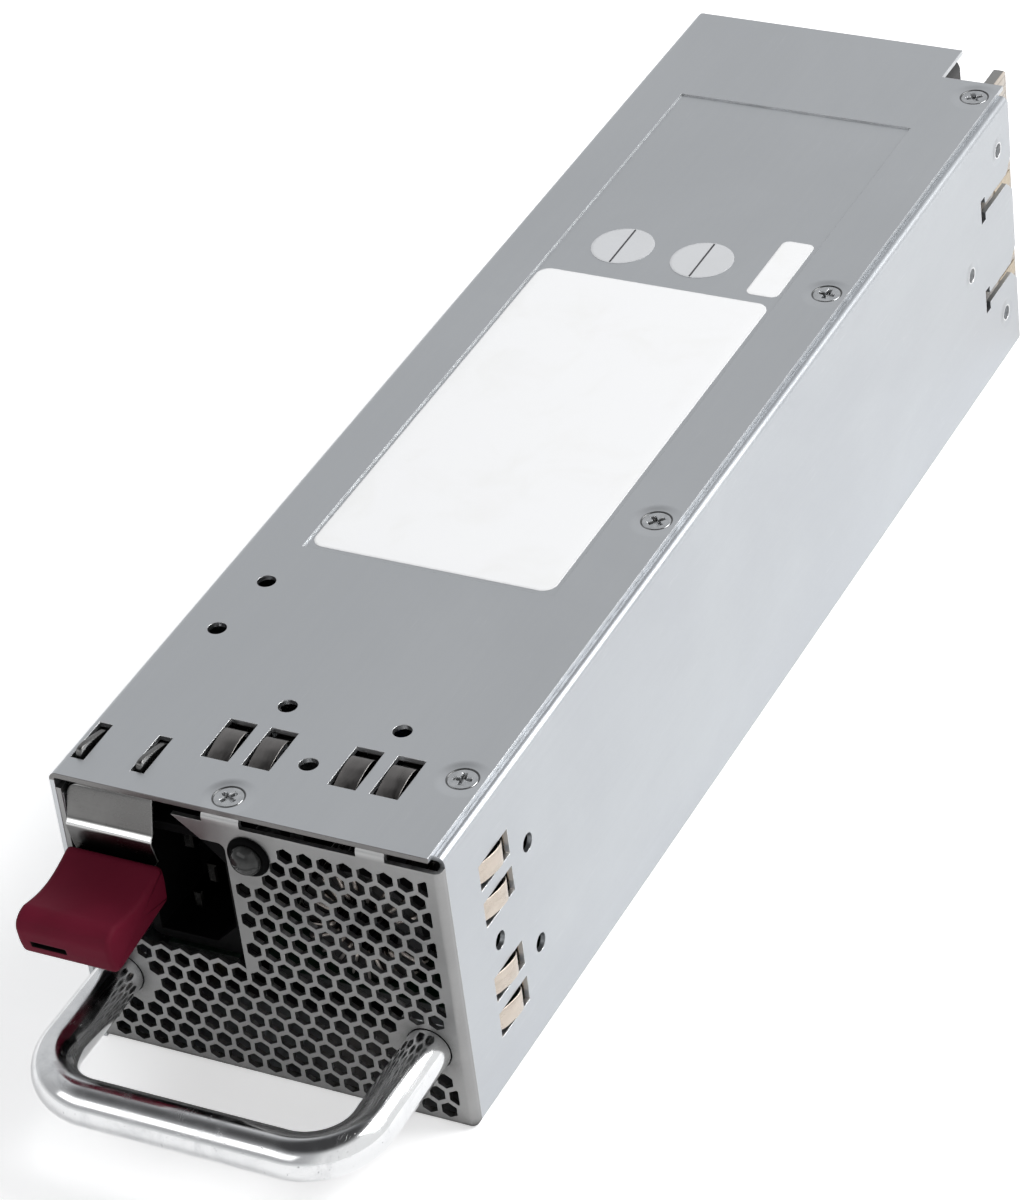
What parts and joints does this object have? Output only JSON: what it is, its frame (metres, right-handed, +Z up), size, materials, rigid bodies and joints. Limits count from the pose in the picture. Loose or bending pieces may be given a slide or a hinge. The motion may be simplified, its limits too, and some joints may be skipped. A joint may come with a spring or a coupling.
{
  "type": "hot swap server power supply",
  "caption": "Plug-in power supply module in a folded steel case with a honeycomb front, pull handle, sprung release latch, mains inlet, rear fan and output card edge.",
  "frame": {"origin": "centre of the case's base rectangle, on the plane it rests on", "axes": "+X to the right seen from the front, +Y from the grille towards the fan and the output card edge, +Z up towards the lid"},
  "size_m": [0.0795, 0.3221, 0.0641],
  "materials": {
    "zinc_steel": "bright zinc-plated sheet steel, satin",
    "lid_steel": "zinc-plated sheet steel, mid grey, satin",
    "black_plastic": "black moulded plastic",
    "blade_metal": "nickel-plated brass",
    "lamp_lens": "dark smoked lens",
    "chrome": "polished chrome plate",
    "bright_screw": "bright zinc",
    "spring_steel": "satin spring steel",
    "maroon_plastic": "maroon moulded plastic, fine texture",
    "contact_bronze": "nickel-plated copper alloy",
    "green_board": "green solder mask",
    "gold_contact": "hard gold plate",
    "clear_film": "translucent film",
    "brass_post": "turned brass",
    "ferrite": "dark ferrite and coated powder core",
    "copper_wire": "enamelled copper",
    "heat_sink": "extruded aluminium",
    "capacitor_sleeve": "shrink sleeve",
    "yellow_box": "yellow box capacitor",
    "winding_tape": "yellow winding tape"
  },
  "bodies": {
    "root": {"chassis_tray": "zinc_steel", "lid": "lid_steel", "front_grille": "zinc_steel", "inlet_housing": "black_plastic", "inlet_blades": "blade_metal", "lamp_bezel": "black_plastic", "lamp_lens": "lamp_lens", "handle": "chrome", "handle_pads": "zinc_steel", "handle_screws": "bright_screw", "latch_flexure": "spring_steel", "top_contact_strip": "contact_bronze", "side_contact_strip": "contact_bronze", "lid_screws": "bright_screw", "side_screws": "bright_screw", "fan_frame": "black_plastic", "fan_bracket": "zinc_steel", "fan_screws": "bright_screw", "rear_wall": "zinc_steel", "output_board": "green_board", "edge_contacts": "gold_contact", "main_board": "green_board", "insulating_film": "clear_film", "board_standoffs": "brass_post", "board_screws": "bright_screw", "choke_core": "ferrite", "choke_winding": "copper_wire", "boost_choke": "ferrite", "primary_heat_sink": "heat_sink", "secondary_heat_sink": "heat_sink", "power_transistors": "black_plastic", "bulk_capacitor": "capacitor_sleeve", "filter_capacitors": "yellow_box", "bridge_rectifier": "black_plastic", "transformer_core": "ferrite", "transformer_winding": "winding_tape", "output_capacitors": "capacitor_sleeve"},
    "latch": {"latch_leaf": "spring_steel", "latch_grip": "maroon_plastic"},
    "fan": {"fan_rotor": "black_plastic"}
  },
  "joints": [
    {"name": "latch_press", "type": "hinge", "parent": "root", "child": "latch", "pos_m": [-0.0279, -0.0996, 0.0609], "axis": [1, 0, 0], "range_deg": [0, 3.6], "stiffness_Nm_per_rad": 3},
    {"name": "fan_spin", "type": "hinge", "parent": "root", "child": "fan", "pos_m": [-0.00715, 0.1284, 0.031], "axis": [0, 1, 0], "continuous": true}
  ]
}
